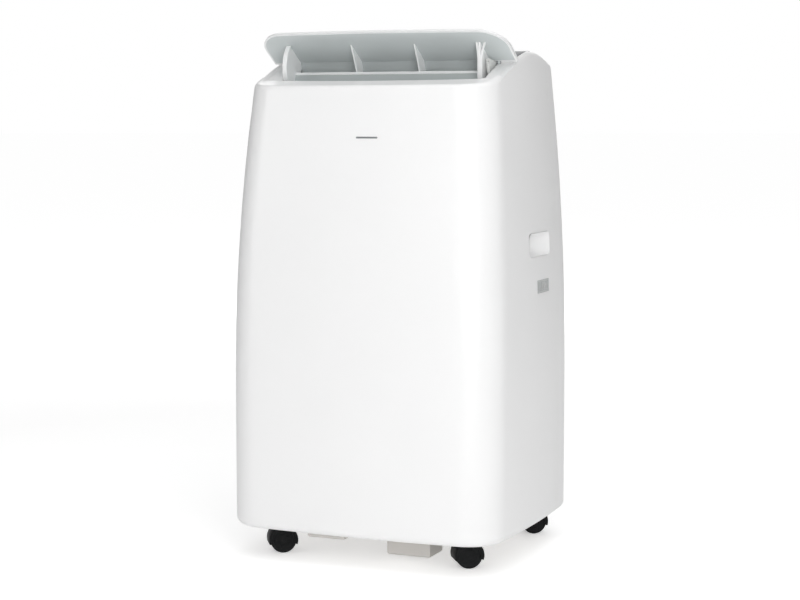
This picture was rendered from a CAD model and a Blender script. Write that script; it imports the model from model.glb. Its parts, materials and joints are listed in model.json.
import json
import math

import bmesh
import bpy
from mathutils import Matrix, Vector

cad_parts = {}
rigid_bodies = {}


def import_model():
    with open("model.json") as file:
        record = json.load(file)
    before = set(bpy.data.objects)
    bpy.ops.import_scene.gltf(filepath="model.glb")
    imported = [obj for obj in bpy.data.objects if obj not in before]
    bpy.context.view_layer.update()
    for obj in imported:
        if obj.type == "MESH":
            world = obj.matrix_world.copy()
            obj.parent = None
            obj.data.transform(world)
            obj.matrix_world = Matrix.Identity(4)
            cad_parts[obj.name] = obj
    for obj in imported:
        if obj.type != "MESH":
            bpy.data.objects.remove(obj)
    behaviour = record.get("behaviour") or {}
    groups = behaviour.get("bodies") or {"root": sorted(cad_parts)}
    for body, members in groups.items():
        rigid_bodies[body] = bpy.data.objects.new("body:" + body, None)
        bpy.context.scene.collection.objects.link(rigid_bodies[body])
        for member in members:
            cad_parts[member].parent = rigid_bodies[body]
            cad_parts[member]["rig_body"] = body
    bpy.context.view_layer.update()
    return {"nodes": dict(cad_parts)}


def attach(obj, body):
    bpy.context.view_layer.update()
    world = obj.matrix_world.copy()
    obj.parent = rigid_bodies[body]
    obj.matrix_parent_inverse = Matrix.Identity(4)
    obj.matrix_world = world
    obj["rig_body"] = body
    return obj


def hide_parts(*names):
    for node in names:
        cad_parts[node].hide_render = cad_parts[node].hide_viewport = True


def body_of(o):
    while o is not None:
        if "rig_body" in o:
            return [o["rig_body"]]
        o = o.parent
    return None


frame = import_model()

# Sizes are in millimetres, with y measured from the middle of the casing.
Y_SHIFT = -6.0
HALF_WIDTH = 218.0
HALF_DEPTH = 180.6
CREST = [(-215, 707), (-150, 713), (-105, 721), (-78, 732), (-52, 742.5), (-26, 752),
         (0, 759), (25, 764), (60, 765.5), (114, 757), (150, 748), (215, 729)]
PIVOT = (-28.0, 747.2)
LID_OPEN = math.radians(-54.0)
LID_HALF = 200.2
LID_FRONT = -103.2
LID_REAR = -30.0
LID_CORNER = 40.0
LID_THICKNESS = 5.2
LID_EASE = 0.4
LID_BOW = 3.0
RIB_X = 51.5
RIB = [(-46.0, 30.0), (-21.8, -16.0), (-29.4, -41.0), (-8.0, -34.0), (-1.0, -16.0), (-3.0, -4.0), (-7.5, 6.0)]
PLATE = [(-46.0, 30.0), (-46.6, 5.0), (-46.0, -20.0), (-42.5, -38.0), (-38.4, -44.2),
         (-14.0, -22.0), (-3.0, -7.0), (0.5, -3.2), (1.5, 0.0), (1.5, 4.0)]
PLATE_X = 155.5
VANE_HALF = 153.8
PANEL_TILT = math.radians(11.5)
BUTTON_XS = {"power": -124.0, "mode": -88.0, "fan": -52.0, "timer": 52.0, "down": 88.0, "up": 124.0}
BUTTON_Y = 18.0
PANEL_Z = 762.8
CASTORS = {"front_left": (-138.0, -108.0, 180.0), "front_right": (138.0, -108.0, 0.0),
           "rear_left": (-150.0, 152.0, 150.0), "rear_right": (150.0, 152.0, 0.0)}
CASTOR_AZIMUTH = 34.0
WHEEL_CENTRE = (14.0, 20.0)     # trail from the stem, and height
HANDLE = (24.0, 475.0)          # y and z of the middle of a grip
HANDLE_SIZE = (96.0, 36.0)
GRIP_ROWS = (                   # depth, then how far the front, rear, roof and floor stand in
    (0.1, 0.3, 0.3, 0.3, 0.3), (0.6, 0.7, 0.9, 0.9, 0.8), (1.6, 1.1, 2.4, 1.8, 1.1),
    (5.0, 1.6, 7.4, 3.6, 1.4), (10.0, 2.2, 14.6, 6.0, 1.8), (16.0, 3.0, 22.0, 8.2, 2.4),
    (21.0, 4.4, 28.0, 9.8, 3.8), (23.6, 7.0, 32.5, 11.6, 6.0), (24.4, 11.0, 37.0, 14.0, 9.0))
TAPER_FROM, TAPER_RISE = 261.0, 470.0
SIDE_TAPER, SIDE_BOW = 22.9, 4.3
FRONT_TAPER, FRONT_BOW = 30.9, 6.4
BADGE = (16.5, 636.5)           # x and z of the plain bar on the front

# The camera and the lights are in metres.
CAMERA_YAW, CAMERA_PITCH = 23.006, 5.305
CAMERA_DISTANCE = 2.874
CAMERA_TARGET = (0.0, -0.006, 0.397)
CAMERA_LENS = 83.4777
CAMERA_SHIFT = (-0.00144, -0.01038)
SKY_STRENGTH = 0.21
FLOOR_GLOW = (0.44, 0.80)       # seen near the object and far from it
FLOOR_BOUNCE = 0.15             # what the floor's own glow adds to other surfaces
LIGHTS = {  # place, aim, watts, size
    "top_box": ((0.6, -0.5, 3.2), (0, 0, 0.3), 50.0, (3.5, 3.5)),
    "front_box": ((1.0, -4.0, 1.1), (0, 0, 0.5), 21.0, (3.0, 1.7)),
    "right_box": ((1.3, -1.7, 0.9), (0, 0, 0.45), 13.0, (0.9, 1.3)),
    "left_box": ((-3.0, -2.6, 1.3), (0, 0, 0.45), 15.0, (1.5, 1.5)),
    "rear_fill": ((-1.2, 3.6, 1.6), (0, 0, 0.4), 26.0, (2.5, 2.0)),
}


# ---- camera -------------------------------------------------------------------------
def make_camera():
    yaw, pitch = math.radians(CAMERA_YAW), math.radians(CAMERA_PITCH)
    back = Vector((math.sin(yaw) * math.cos(pitch), -math.cos(yaw) * math.cos(pitch), math.sin(pitch)))
    data = bpy.data.cameras.new("camera")
    data.sensor_width = 36.0
    data.lens = CAMERA_LENS
    data.shift_x, data.shift_y = CAMERA_SHIFT
    data.clip_start = 0.05
    camera = bpy.data.objects.new("camera", data)
    camera.location = Vector(CAMERA_TARGET) + back * CAMERA_DISTANCE
    camera.rotation_euler = (-back).to_track_quat("-Z", "Y").to_euler()
    bpy.context.scene.collection.objects.link(camera)
    bpy.context.scene.camera = camera


make_camera()


# ---- finishes -----------------------------------------------------------------------
def srgb(red, green, blue):
    levels = [v / 255 for v in (red, green, blue)]
    return [v / 12.92 if v <= 0.04045 else ((v + 0.055) / 1.055) ** 2.4 for v in levels] + [1.0]


class Tree:
    def __init__(self, name):
        self.material = bpy.data.materials.new(name)
        self.material.use_nodes = True
        self.nodes = self.material.node_tree.nodes
        self.links = self.material.node_tree.links
        self.shader = self.nodes["Principled BSDF"]
        self.place = self.nodes.new("ShaderNodeTexCoord").outputs["Object"]

    def add(self, kind, inputs=None, **settings):
        made = self.nodes.new("ShaderNode" + kind)
        for key, value in settings.items():
            setattr(made, key, value)
        for key, value in (inputs or {}).items():
            if isinstance(value, bpy.types.NodeSocket):
                self.links.new(value, made.inputs[key])
            else:
                made.inputs[key].default_value = value
        return made

    def set(self, key, value):
        if isinstance(value, bpy.types.NodeSocket):
            self.links.new(value, self.shader.inputs[key])
        else:
            self.shader.inputs[key].default_value = value

    def noise(self, scale, detail=3.0, stretch=None):
        place = self.place
        if stretch:
            place = self.add("Mapping", {"Vector": place, "Scale": stretch}).outputs[0]
        return self.add("TexNoise", {"Vector": place, "Scale": scale, "Detail": detail}).outputs[0]

    def span(self, value, low, high, out_low, out_high):
        return self.add("MapRange", {"Value": value, "From Min": low, "From Max": high,
                                     "To Min": out_low, "To Max": out_high}).outputs[0]

    def blend(self, factor, first, second):
        made = self.add("Mix", data_type="RGBA")
        for index, value in ((0, factor), (6, first), (7, second)):
            if isinstance(value, bpy.types.NodeSocket):
                self.links.new(value, made.inputs[index])
            else:
                made.inputs[index].default_value = value
        return made.outputs[2]


def finish(name, colour, rough, metallic=0.0, grain=0.12, grain_scale=1100.0, mottle=0.03, wear=0.0,
           wear_colour=(235, 235, 235), coat=0.0, radius=0.0005, smudge=0.08, sheen=0.5,
           pattern=None):
    tree = Tree(name)
    base = srgb(*colour)
    cloud = tree.noise(9.0, 5.0)
    shade = [v * (1 - mottle) for v in base[:3]] + [1.0]
    tint = [min(1.0, v * (1 + mottle)) for v in base[:3]] + [1.0]
    paint = tree.blend(tree.span(cloud, 0.3, 0.7, 0.0, 1.0), shade, tint)
    smear = tree.noise(34.0, 6.0, (1.0, 1.0, 0.45))
    gloss = tree.span(smear, 0.3, 0.75, rough - smudge / 2, rough + smudge)
    soft = tree.add("Bevel", {"Radius": radius}, samples=4).outputs[0]
    fine = tree.noise(grain_scale, 2.0)
    height = fine
    if pattern:
        height, paint, gloss = pattern(tree, fine, paint, gloss)
    bump = tree.add("Bump", {"Strength": grain if not pattern else 0.8, "Distance": 0.0003, "Height": height,
                             "Normal": soft}).outputs[0]
    if wear:
        flat = tree.add("NewGeometry").outputs["Normal"]
        turn = tree.add("VectorMath", {0: soft, 1: flat}, operation="DOT_PRODUCT").outputs["Value"]
        edge = tree.span(turn, 0.995, 0.90, 0.0, 1.0)
        patchy = tree.span(tree.noise(160.0, 4.0), 0.42, 0.68, 0.0, wear)
        both = tree.add("Math", {0: edge, 1: patchy}, operation="MULTIPLY").outputs[0]
        paint = tree.blend(both, paint, srgb(*wear_colour))
    tree.set("Base Color", paint)
    tree.set("Roughness", gloss)
    tree.set("Normal", bump)
    tree.set("Metallic", metallic)
    tree.set("Specular IOR Level", sheen)
    tree.set("Coat Weight", coat)
    tree.set("Coat Roughness", 0.08)
    return tree.material


def bands(tree, pitch, axis):
    """A sine running along one axis, once per pitch in metres."""
    part = tree.add("SeparateXYZ", {"Vector": tree.place}).outputs[axis]
    turn = tree.add("Math", {0: part, 1: 2 * math.pi / pitch}, operation="MULTIPLY").outputs[0]
    return tree.add("Math", {0: turn}, operation="SINE").outputs[0]


def fin_pattern(axis):
    def made(tree, fine, paint, gloss):
        wave = bands(tree, 0.0022, axis)
        dark = tree.blend(tree.span(wave, -0.7, 0.3, 0.0, 1.0), srgb(38, 40, 42), paint)
        return wave, dark, gloss
    return made


def mesh_pattern(tree, fine, paint, gloss):
    across = tree.span(bands(tree, 0.0021, "X"), 0.1, 0.7, 0.0, 1.0)
    upward = tree.span(bands(tree, 0.0021, "Z"), 0.1, 0.7, 0.0, 1.0)
    both = tree.add("Math", {0: across, 1: upward}, operation="MAXIMUM").outputs[0]
    return both, tree.blend(both, srgb(20, 22, 24), paint), gloss


def brushed_pattern(tree, fine, paint, gloss):
    lines = tree.noise(700.0, 2.0, (1.0, 0.03, 1.0))
    return lines, paint, gloss


FINISHES = {
    "casing_white": finish("casing_white", (249, 249, 249), 0.30, grain=0.05, mottle=0.008, smudge=0.05,
                           radius=0.0007),
    "lid_white": finish("lid_white", (246, 247, 247), 0.32, grain=0.05, mottle=0.008, smudge=0.05,
                        radius=0.0006),
    "liner_grey": finish("liner_grey", (211, 217, 217), 0.5, grain=0.3, mottle=0.02, wear=0.25),
    "vane_grey": finish("vane_grey", (189, 195, 195), 0.5, grain=0.3, mottle=0.02, wear=0.25),
    "vane_white": finish("vane_white", (250, 251, 251), 0.42, grain=0.15, mottle=0.015),
    "gear_white": finish("gear_white", (232, 233, 231), 0.4, grain=0.1, mottle=0.02, radius=0.0002),
    "panel_grey": finish("panel_grey", (118, 121, 123), 0.36, grain=0.35, mottle=0.03, wear=0.4),
    "button_grey": finish("button_grey", (205, 207, 208), 0.4, grain=0.2, mottle=0.02, wear=0.2),
    "display_black": finish("display_black", (11, 12, 14), 0.08, grain=0.0, mottle=0.1, coat=1.0,
                            smudge=0.03),
    "vent_grey": finish("vent_grey", (204, 206, 206), 0.5, grain=0.3, mottle=0.03, wear=0.2),
    "pan_grey": finish("pan_grey", (224, 221, 217), 0.55, grain=0.35, mottle=0.03),
    "castor_black": finish("castor_black", (15, 16, 17), 0.42, grain=0.35, mottle=0.12, wear=0.4,
                           wear_colour=(70, 70, 70), sheen=0.18),
    "castor_tread": finish("castor_tread", (25, 26, 27), 0.58, grain=0.5, grain_scale=600.0, mottle=0.15,
                           wear=0.3,
                           wear_colour=(80, 78, 75), sheen=0.18),
    "filter_mesh": finish("filter_mesh", (88, 92, 96), 0.65, mottle=0.06, pattern=mesh_pattern),
    "foam_black": finish("foam_black", (34, 35, 36), 0.85, grain=0.8, grain_scale=500.0, mottle=0.15),
    "wheel_grey": finish("wheel_grey", (92, 95, 98), 0.45, grain=0.2, mottle=0.04),
    "steel": finish("steel", (196, 198, 200), 0.32, metallic=1.0, grain=0.1, mottle=0.05),
    "motor_steel": finish("motor_steel", (170, 172, 174), 0.36, metallic=1.0, mottle=0.06,
                          pattern=brushed_pattern),
    "compressor_black": finish("compressor_black", (22, 22, 23), 0.28, grain=0.25, grain_scale=300.0,
                               mottle=0.1, coat=0.4),
    "fin_aluminium": finish("fin_aluminium", (205, 208, 212), 0.34, metallic=0.9, mottle=0.04,
                            pattern=fin_pattern("X")),
    "copper": finish("copper", (204, 122, 84), 0.26, metallic=1.0, grain=0.08, mottle=0.12),
    "rubber": finish("rubber", (46, 47, 48), 0.72, grain=0.4, grain_scale=500.0, mottle=0.1),
    "board_green": finish("board_green", (28, 92, 60), 0.45, grain=0.2, mottle=0.12),
}
FINISHES["icon_grey"] = finish("icon_grey", (84, 87, 90), 0.5, grain=0.1, mottle=0.02)
FINISHES["badge_grey"] = finish("badge_grey", (150, 152, 154), 0.34, metallic=0.5, grain=0.1, mottle=0.04)
GLOW = Tree("segment_glow")
GLOW.set("Base Color",
         GLOW.blend(GLOW.span(GLOW.noise(300.0), 0.3, 0.7, 0.0, 1.0), srgb(168, 222, 230),
                    srgb(196, 236, 240)))
GLOW.set("Roughness", 0.3)
GLOW.set("Emission Color", srgb(150, 220, 232))
GLOW.set("Emission Strength", 0.7)
FINISHES["segment_glow"] = GLOW.material

for name, node in frame["nodes"].items():
    for place in node.material_slots:
        place.material = FINISHES[place.material.name.split(".")[0]]
for name, look in (("lower_vane", "vane_grey"), ("outlet_duct", "liner_grey")):
    for place in frame["nodes"][name].material_slots:
        place.material = FINISHES[look]


# ---- mesh helpers -------------------------------------------------------------------
def crest(y):
    """Height of the casing's crest line at y, a smooth curve through its points."""
    points = CREST
    y = min(max(y, points[0][0]), points[-1][0])
    index = max(i for i in range(len(points) - 1) if points[i][0] <= y)

    def slope(i):
        low, high = max(i - 1, 0), min(i + 1, len(points) - 1)
        return (points[high][1] - points[low][1]) / (points[high][0] - points[low][0])

    (y0, z0), (y1, z1) = points[index], points[index + 1]
    width = y1 - y0
    t = (y - y0) / width
    return (z0 * (1 + 2 * t) * (1 - t) ** 2 + slope(index) * width * t * (1 - t) ** 2
            + z1 * t * t * (3 - 2 * t) + slope(index + 1) * width * t * t * (t - 1))


class Form:
    """Corner points in millimetres, and faces."""

    def __init__(self):
        self.points = []
        self.faces = []

    def join(self, points, faces):
        base = len(self.points)
        self.points += [tuple(p) for p in points]
        self.faces += [[base + i for i in face] for face in faces]
        return self

    def loft(self, rings, closed_ends=True):
        count = len(rings[0])
        faces = []
        for r in range(len(rings) - 1):
            for i in range(count):
                j = (i + 1) % count
                faces.append([r * count + i, r * count + j, (r + 1) * count + j, (r + 1) * count + i])
        if closed_ends:
            faces.append(list(range(count))[::-1])
            faces.append([(len(rings) - 1) * count + i for i in range(count)])
        return self.join([p for ring in rings for p in ring], faces)

    def prism(self, outline, low, high, axis):
        order = {"X": lambda u, v, w: (w, u, v),
                 "Y": lambda u, v, w: (u, w, v),
                 "Z": lambda u, v, w: (u, v, w)}[axis]
        return self.loft([[order(u, v, w) for u, v in outline] for w in (low, high)])

    def lathe(self, profile, centre, axis, count=48):
        """profile holds (radius, distance along the axis) from centre."""
        rings = []
        for radius, along in profile:
            ring = []
            for step in range(count):
                angle = 2 * math.pi * step / count
                u, v = radius * math.cos(angle), radius * math.sin(angle)
                offset = {"X": (along, u, v), "Y": (u, along, v), "Z": (u, v, along)}[axis]
                ring.append(tuple(c + o for c, o in zip(centre, offset)))
            rings.append(ring)
        return self.loft(rings, closed_ends=False)

    def moved(self, matrix):
        self.points = [tuple(matrix @ Vector(p)) for p in self.points]
        return self


def rounded(width, height, radius, steps=6, centre=(0.0, 0.0)):
    points = []
    for sx, sy, start in ((1, 1, 0), (-1, 1, 90), (-1, -1, 180), (1, -1, 270)):
        for step in range(steps + 1):
            angle = math.radians(start + 90 * step / steps)
            points.append((centre[0] + sx * (width / 2 - radius) + radius * math.cos(angle),
                           centre[1] + sy * (height / 2 - radius) + radius * math.sin(angle)))
    return points


def piece(name, form, slot, body="casing", stands_for=(), bevel=0.0, segments=3, angle=34.0, look=None):
    mesh = bpy.data.meshes.new(name)
    mesh.from_pydata([(x * 0.001, (y + Y_SHIFT) * 0.001, z * 0.001) for x, y, z in form.points], [],
                     form.faces)
    work = bmesh.new()
    work.from_mesh(mesh)
    bmesh.ops.remove_doubles(work, verts=work.verts, dist=1e-6)
    bmesh.ops.dissolve_degenerate(work, edges=work.edges, dist=1e-7)
    bmesh.ops.recalc_face_normals(work, faces=work.faces)
    work.to_mesh(mesh)
    work.free()
    for face in mesh.polygons:
        face.use_smooth = True
    mesh.set_sharp_from_angle(angle=math.radians(angle))
    made = bpy.data.objects.new(name, mesh)
    bpy.context.scene.collection.objects.link(made)
    made.data.materials.append(FINISHES[look or slot])
    if bevel:
        edge = made.modifiers.new("edge", "BEVEL")
        edge.width = bevel * 0.001
        edge.segments = segments
        edge.limit_method = "ANGLE"
        edge.angle_limit = math.radians(angle)
        edge.harden_normals = True
    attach(made, body)
    if stands_for:
        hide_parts(*stands_for)
    return made


def opened():
    """Turns a closed lid's points to the open position."""
    pivot = Vector((0, *PIVOT))
    return Matrix.Translation(pivot) @ Matrix.Rotation(LID_OPEN, 4, "X") @ Matrix.Translation(-pivot)


def at_pivot(points):
    return [(PIVOT[0] + y, PIVOT[1] + z) for y, z in points]


# ---- louver lid ---------------------------------------------------------------------
def lid_rows(inset, rear):
    front, half, corner = LID_FRONT + inset, LID_HALF - inset, LID_CORNER - inset
    centre = front + corner
    levels = [(rear + (centre - rear) * step / 8, half) for step in range(9)]
    for step in range(1, 16):
        angle = math.radians(90 * step / 15)
        levels.append((centre - corner * math.sin(angle), half - corner + corner * math.cos(angle)))
    rows = []
    for y, wide in levels:
        pull = ((rear - y) / (rear - front)) ** 2
        row = []
        for step in range(81):
            x = wide * (step / 40 - 1)
            row.append((x, y - LID_BOW * pull * (1 - (x / half) ** 2)))
        rows.append(row)
    return rows


def lid_plate(inset, rear, drop_top, drop_bottom):
    rows = lid_rows(inset, rear)
    count, wide = len(rows), len(rows[0])
    points = [(x, y, crest(y) - drop_top) for row in rows for x, y in row]
    points += [(x, y, crest(y) - drop_bottom) for row in rows for x, y in row]
    under = count * wide
    faces = []
    for r in range(count - 1):
        for c in range(wide - 1):
            a, b = r * wide + c, (r + 1) * wide + c
            faces.append([a, a + 1, b + 1, b])
            faces.append([under + b, under + b + 1, under + a + 1, under + a])
    rim = [c for c in range(wide)] + [r * wide + wide - 1 for r in range(1, count)]
    rim += [(count - 1) * wide + c for c in range(wide - 2, -1, -1)]
    rim += [r * wide for r in range(count - 2, 0, -1)]
    for a, b in zip(rim, rim[1:] + rim[:1]):
        faces.append([b, a, under + a, under + b])
    return Form().join(points, faces).moved(opened())


def cut(target, form):
    """Cuts the form out of a piece."""
    tool = piece("tool_" + target.name, form, "steel", body=body_of(target)[0])
    change = target.modifiers.new("cut", "BOOLEAN")
    change.operation = "DIFFERENCE"
    change.solver = "EXACT"
    change.object = tool
    while target.modifiers[0] != change:
        bpy.context.view_layer.objects.active = target
        bpy.ops.object.modifier_move_up(modifier=change.name)
    graph = bpy.context.evaluated_depsgraph_get()
    hidden = [m for m in target.modifiers if m != change]
    for m in hidden:
        m.show_viewport = False
    graph.update()
    mesh = bpy.data.meshes.new_from_object(target.evaluated_get(graph), depsgraph=graph)
    for m in hidden:
        m.show_viewport = True
    target.modifiers.remove(change)
    target.data = mesh
    bpy.data.objects.remove(tool)
    for face in mesh.polygons:
        face.use_smooth = True
    mesh.set_sharp_from_angle(angle=math.radians(34))


notch = Form()
for x0, x1 in ((-165.0, -153.5), (153.5, 174.0)):
    notch.lathe([(0.0, x0), (4.6, x0), (4.6, x1), (0.0, x1)], (0.0, *PIVOT), "X", 32)
lid = piece("lid_skin", lid_plate(LID_EASE, LID_REAR, 0.0, LID_THICKNESS), "lid_white", "lid", ["lid_shell"],
            bevel=1.9, segments=5, angle=50)
cut(lid, notch)
piece("lid_liner_panel", lid_plate(3.4, LID_REAR - 4.0, 4.6, 5.5), "liner_grey", "lid", ["lid_liner"],
      bevel=0.35, angle=50)
ribs = Form()
for x in (-RIB_X, RIB_X):
    ribs.prism(at_pivot(RIB), x - 1.1, x + 1.1, "X")
piece("lid_ribs", ribs, "vane_white", "lid", bevel=0.5)
bead = Form().prism(rounded(3.4, 4.4, 1.4, 5, (PIVOT[0] - 23.4, PIVOT[1] - 14.9)), -VANE_HALF, VANE_HALF, "X")
piece("vane_bead", bead, "vane_white", "lid")


def sheet_x(path, thickness, x0, x1):
    """A thin sheet along a smooth path of (y, z), spanning x0 to x1."""
    fine = []
    for i in range(len(path) - 1):
        a, b, c, d = path[max(i - 1, 0)], path[i], path[i + 1], path[min(i + 2, len(path) - 1)]
        for step in range(8):
            t = step / 8
            fine.append(tuple(0.5 * (2 * b[k] + (c[k] - a[k]) * t
                                     + (2 * a[k] - 5 * b[k] + 4 * c[k] - d[k]) * t * t
                                     + (3 * b[k] - a[k] - 3 * c[k] + d[k]) * t ** 3) for k in (0, 1)))
    fine.append(path[-1])
    front, rear = [], []
    for i, (y, z) in enumerate(fine):
        y0, z0 = fine[max(i - 1, 0)]
        y1, z1 = fine[min(i + 1, len(fine) - 1)]
        length = math.hypot(y1 - y0, z1 - z0)
        ny, nz = -(z1 - z0) / length, (y1 - y0) / length
        front.append((y + ny * thickness / 2, z + nz * thickness / 2))
        rear.append((y - ny * thickness / 2, z - nz * thickness / 2))
    return Form().prism(front + rear[::-1], x0, x1, "X")


deflector = sheet_x(at_pivot([(-6.0, 5.0), (-3.0, -4.0), (-1.0, -14.0), (-3.0, -24.0)]), 1.4, -VANE_HALF,
                    VANE_HALF)
piece("lid_deflector", deflector, "liner_grey", "lid", angle=50, look="vane_grey")


def strip(form, path, spans, thickness):
    """A band that follows (y, z) points, from x0 to x1 at each."""
    form.loft([[(x0, y, z), (x1, y, z), (x1, y + thickness, z), (x0, y + thickness, z)]
               for (y, z), (x0, x1) in zip(at_pivot(path), spans)])


right_plate = Form().prism(at_pivot(PLATE), PLATE_X - 1.5, PLATE_X + 1.5, "X")
strip(right_plate, [(-46.2, 5), (-46.4, -5), (-46, -20), (-44.6, -30), (-42, -39)], [(152.5, 160)] * 5, 2.2)
arms = [(-46.2, 3), (-46.2, 14), (-46.1, 21), (-46, 28)]
strip(right_plate, arms, [(152.5, 156.6), (151.6, 155.2), (150.6, 153.8), (149.4, 152.4)], 2.2)
strip(right_plate, arms, [(155.9, 160), (158, 161.4), (160.2, 163.2), (162.6, 165.4)], 2.2)
piece("vane_end_right", right_plate, "vane_white", "lid", ["end_plate_right"], bevel=0.5, look="casing_white")


# ---- castors ------------------------------------------------------------------------
def castor_matrix(x, y, turn):
    return Matrix.Translation((x, y, 0)) @ Matrix.Rotation(math.radians(CASTOR_AZIMUTH - 90 + turn), 4, "Z")


def castor_hood():
    y, z = WHEEL_CENTRE
    section = [(-17.6, 16.4), (-17.6, 20.6), (-16.9, 22.0), (-15.4, 22.6),
               (15.4, 22.6), (16.9, 22.0), (17.6, 20.6), (17.6, 16.4),
               (15.9, 16.0), (15.7, 20.8), (-15.7, 20.8), (-15.9, 16.0)]
    rings = []
    for step in range(37):
        angle = math.radians(-18 + 216 * step / 36)
        rings.append([(x, y + r * math.cos(angle), z + r * math.sin(angle)) for x, r in section])
    hood = Form().loft(rings)
    hood.lathe([(0, -4.6), (17.5, -4.6), (18.4, -3.8), (18.4, 3.8), (17.5, 4.6), (0, 4.6)], (0, y, z), "X",
               40)
    hood.lathe([(0, 66), (4.9, 66), (5.5, 65), (5.5, 45), (7.6, 45), (8.5, 44), (8.8, 40), (10.5, 35.5),
                (0, 34)], (0, 0, 0), "Z", 36)
    hood.prism(rounded(11, 22, 3, 4, (0, 4.5)), 30, 43.5, "Z")
    return hood


def castor_wheels():
    y, z = WHEEL_CENTRE
    wheels = Form()
    for side in (-1, 1):
        profile = [(0, 5.6), (17.6, 5.6), (18.9, 5.8), (19.7, 6.4), (20, 7.4), (20, 9.5), (19.6, 9.8),
                   (19.6, 10.5), (20, 10.8), (20, 13.2), (19.7, 14.2), (18.9, 14.8), (17.6, 15.0),
                   (16.6, 14.9), (16.1, 14.4), (15.2, 14.1), (9.4, 14.0), (8.6, 14.4), (7.9, 15.0),
                   (6.4, 15.4), (3.2, 15.5), (2.6, 15.1), (0, 15.0)]
        wheels.lathe([(r, side * h) for r, h in profile], (0, y, z), "X", 64)
        for step in range(5):
            angle = math.radians(step * 72)
            middle = (y + 12.3 * math.cos(angle), z + 12.3 * math.sin(angle))
            wheels.lathe([(0, side * 14.0), (1.9, side * 14.0), (1.6, side * 14.6), (0, side * 14.7)],
                         (0, *middle), "X", 18)
    wheels.lathe([(2.4, -13), (2.4, 13)], (0, y, z), "X", 20)
    return wheels


for label, (x, y, turn) in CASTORS.items():
    spot = castor_matrix(x, y, turn)
    piece("castor_fork_" + label, castor_hood().moved(spot), "castor_black", "castor_" + label,
          ["castor_hood_" + label], bevel=0.4)
    piece("castor_rollers_" + label, castor_wheels().moved(spot), "castor_tread", "castor_wheels_" + label,
          ["castor_wheels_" + label], angle=28)


# ---- control panel ------------------------------------------------------------------
def on_panel(x):
    return Matrix.Translation((x, BUTTON_Y, PANEL_Z)) @ Matrix.Rotation(PANEL_TILT, 4, "X")


def stroke(form, path, width, height, low):
    """A flat raised line with round ends."""
    for (ax, ay), (bx, by) in zip(path, path[1:]):
        length = math.hypot(bx - ax, by - ay)
        angle = math.atan2(by - ay, bx - ax)
        outline = rounded(length + width, width, width * 0.499, 4)
        spot = Matrix.Translation(((ax + bx) / 2, (ay + by) / 2, low)) @ Matrix.Rotation(angle, 4, "Z")
        form.join([spot @ Vector((u, v, w)) for w in (0, height) for u, v in outline],
                  [list(range(len(outline)))[::-1], [len(outline) + i for i in range(len(outline))]]
                  + [[i, (i + 1) % len(outline), len(outline) + (i + 1) % len(outline), len(outline) + i]
                     for i in range(len(outline))])


def arc(radius, start, end, count=14, centre=(0.0, 0.0)):
    turns = [math.radians(start + (end - start) * i / count) for i in range(count + 1)]
    return [(centre[0] + radius * math.cos(a), centre[1] + radius * math.sin(a)) for a in turns]


ICONS = {
    "power": [arc(3.1, 125, 415), [(0, 1.2), (0, 4.0)]],
    "mode": [[(3.6 * math.cos(math.radians(a)), 3.6 * math.sin(math.radians(a))),
              (-3.6 * math.cos(math.radians(a)), -3.6 * math.sin(math.radians(a)))] for a in (30, 90, 150)],
    "fan": [arc(1.7, a - 80, a + 110, 8, (1.8 * math.cos(math.radians(a)), 1.8 * math.sin(math.radians(a))))
            for a in (90, 210, 330)],
    "timer": [arc(3.4, 0, 360, 22), [(0, 2.1), (0, 0), (1.6, -0.9)]],
    "down": [[(-3.0, 1.4), (0, -1.8), (3.0, 1.4)]],
    "up": [[(-3.0, -1.4), (0, 1.8), (3.0, -1.4)]],
}
BUTTON_TOP = 1.0
for label, x in BUTTON_XS.items():
    form = Form()
    for path in ICONS[label]:
        stroke(form, path, 0.7, 0.22, BUTTON_TOP - 0.06)
    piece("icon_" + label, form.moved(on_panel(x)), "panel_grey", "button_" + label, look="icon_grey")

SEGMENTS = {"a": ((-2.2, 4.6), (2.2, 4.6)), "b": ((2.6, 4.2), (2.6, 0.5)),
            "c": ((2.6, -0.5), (2.6, -4.2)), "d": ((-2.2, -4.6), (2.2, -4.6)),
            "e": ((-2.6, -0.5), (-2.6, -4.2)), "f": ((-2.6, 4.2), (-2.6, 0.5)),
            "g": ((-2.2, 0), (2.2, 0))}
digits = Form()
for offset, lit in ((-4.6, "abged"), (4.6, "abged")):
    for name in lit:
        a, b = SEGMENTS[name]
        stroke(digits, [(offset + a[0], a[1]), (offset + b[0], b[1])], 0.9, 0.12, -0.28)
for x in (-17, 17):
    for y in (-5, 0, 5):
        stroke(digits, [(x - 0.6, y), (x + 0.6, y)], 1.1, 0.12, -0.28)
piece("display_digits", digits.moved(on_panel(0)), "display_black", look="segment_glow")


def casing_half(z, y):
    """Half width of the casing at a height, with the bow of its sides."""
    t = max(0.0, (z - TAPER_FROM) / TAPER_RISE)
    return HALF_WIDTH - SIDE_TAPER * t * t + SIDE_BOW * (1 - (y / 135.0) ** 2)


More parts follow.
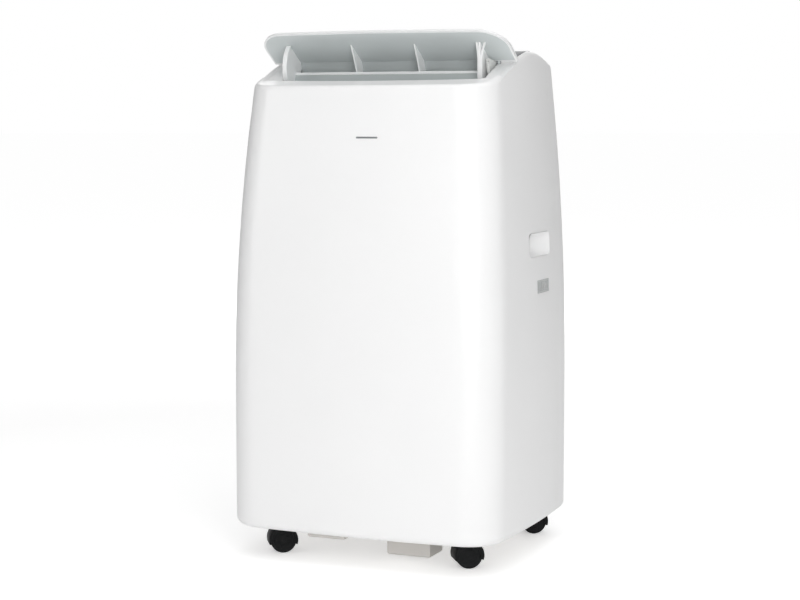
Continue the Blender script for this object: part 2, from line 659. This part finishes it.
def panel_plate():
    front, rear, inset, corner, edge_round = -22.0, 58.0, 4.4, 7.0, 8.0
    levels = [front + corner * (1 - math.cos(math.radians(a))) for a in range(0, 91, 15)]
    levels += [front + corner + (rear - front - 2 * corner) * step / 14 for step in range(1, 14)]
    levels += [rear - corner * (1 - math.cos(math.radians(a))) for a in range(90, -1, -15)]
    rings = []
    for y in levels:
        edge = min(y - front, rear - y)
        pull = corner - math.sqrt(max(0.0, corner ** 2 - (corner - edge) ** 2)) if edge < corner else 0.0
        full = casing_half(crest(y), y)
        upper, lower = [], []
        for step in range(65):
            x = (full - inset - pull) * math.sin(math.radians(90 * (step / 32 - 1)))
            over = max(0.0, abs(x) - full + edge_round)
            z = crest(y) - edge_round + math.sqrt(edge_round ** 2 - over ** 2)
            upper.append((x, y, z + 0.35))
            lower.append((x * (1 - 0.3 / full), y, z - 2.0))
        rings.append(upper + lower[::-1])
    return Form().loft(rings)


plate = piece("panel_face", panel_plate(), "panel_grey", stands_for=["control_panel"], bevel=0.35, angle=50)
holes = Form()
for x in BUTTON_XS.values():
    well = Form().lathe([(0, -12), (7.9, -12), (7.9, 12), (0, 12)], (0, 0, 0), "Z", 40)
    holes.join(well.moved(on_panel(x)).points, well.faces)
pane = Form().prism(rounded(48.0, 22.0, 1.2), -12, 12, "Z").moved(on_panel(0))
holes.join(pane.points, pane.faces)
cut(plate, holes)


# ---- side fittings ------------------------------------------------------------------
def pocket(side):
    """A scooped grip: its rear end and roof slope in, its front end is steep."""
    rings = []
    for depth, front, rear, roof, floor in GRIP_ROWS:
        low_y, high_y = HANDLE[0] - HANDLE_SIZE[0] / 2 + front, HANDLE[0] + HANDLE_SIZE[0] / 2 - rear
        low_z, high_z = HANDLE[1] - HANDLE_SIZE[1] / 2 + floor, HANDLE[1] + HANDLE_SIZE[1] / 2 - roof
        width, height = high_y - low_y, high_z - low_z
        outline = rounded(width, height, min(9.0, height * 0.49), 7,
                          ((low_y + high_y) / 2, (low_z + high_z) / 2))
        rings.append([(side * (casing_half(HANDLE[1], y) - depth), y, z) for y, z in outline])
    faces_form = Form().loft(rings, closed_ends=False)
    count = len(rings[0])
    base = (len(rings) - 1) * count
    faces_form.faces.append([base + i for i in range(count)])
    return faces_form


cups = Form()
for side in (-1, 1):
    cup = pocket(side)
    cups.join(cup.points, cup.faces)
piece("grip_pockets", cups, "casing_white", stands_for=["handle_cups"], angle=60)


# ---- badge on the front -------------------------------------------------------------
def front_face(x, z):
    """y of the casing's front at x and z."""
    t = max(0.0, (z - TAPER_FROM) / TAPER_RISE)
    front = HALF_DEPTH - FRONT_TAPER * t * t
    half = HALF_WIDTH - SIDE_TAPER * t * t - 60.0
    return -(front + FRONT_BOW * (1 - (x / half) ** 2))


badge = Form()
outline = rounded(34.0, 2.6, 1.29, 6, BADGE)
badge.loft([[(x, front_face(x, z) - proud, z) for x, z in outline] for proud in (-0.6, 0.35)])
piece("front_badge", badge, "vent_grey", bevel=0.12, look="badge_grey")


# ---- stage --------------------------------------------------------------------------
def make_stage():
    reach, corners = 90.0, 48
    turns = [2 * math.pi * i / corners for i in range(corners)]
    mesh = bpy.data.meshes.new("floor")
    mesh.from_pydata([(reach * math.cos(a), reach * math.sin(a), 0) for a in turns], [],
                     [list(range(corners))])
    floor = bpy.data.objects.new("floor", mesh)
    bpy.context.scene.collection.objects.link(floor)
    tree = Tree("floor")
    tree.set("Base Color",
             tree.blend(tree.span(tree.noise(3.0), 0.3, 0.7, 0.0, 1.0), srgb(243, 243, 243),
                        srgb(245, 245, 245)))
    tree.set("Roughness", 0.9)
    tree.set("Emission Color", (1.0, 1.0, 1.0, 1.0))
    reach = tree.add("VectorMath", {0: tree.place}, operation="LENGTH").outputs["Value"]
    glow = tree.span(reach, 1.4, 4.5, *FLOOR_GLOW)
    seen = tree.add("LightPath").outputs["Is Camera Ray"]
    tree.set("Emission Strength", tree.span(seen, 0.0, 1.0, FLOOR_BOUNCE, glow))
    floor.data.materials.append(tree.material)


def make_world():
    world = bpy.data.worlds.new("studio")
    world.use_nodes = True
    bpy.context.scene.world = world
    nodes, links = world.node_tree.nodes, world.node_tree.links
    back = nodes["Background"]
    back.inputs["Color"].default_value = (1, 1, 1, 1)
    back.inputs["Strength"].default_value = SKY_STRENGTH
    seen = nodes.new("ShaderNodeBackground")
    seen.inputs["Color"].default_value = (1, 1, 1, 1)
    seen.inputs["Strength"].default_value = 1.0
    mix = nodes.new("ShaderNodeMixShader")
    path = nodes.new("ShaderNodeLightPath")
    links.new(path.outputs["Is Camera Ray"], mix.inputs[0])
    links.new(back.outputs[0], mix.inputs[1])
    links.new(seen.outputs[0], mix.inputs[2])
    links.new(mix.outputs[0], nodes["World Output"].inputs["Surface"])


def make_lights():
    for name, (spot, target, watts, size) in LIGHTS.items():
        data = bpy.data.lights.new(name, "AREA")
        data.energy = watts
        data.shape = "RECTANGLE"
        data.size, data.size_y = size
        made = bpy.data.objects.new(name, data)
        made.location = spot
        made.rotation_euler = (Vector(spot) - Vector(target)).to_track_quat("Z", "Y").to_euler()
        bpy.context.scene.collection.objects.link(made)


make_stage()
make_world()
make_lights()
bpy.context.scene.view_settings.view_transform = "Standard"
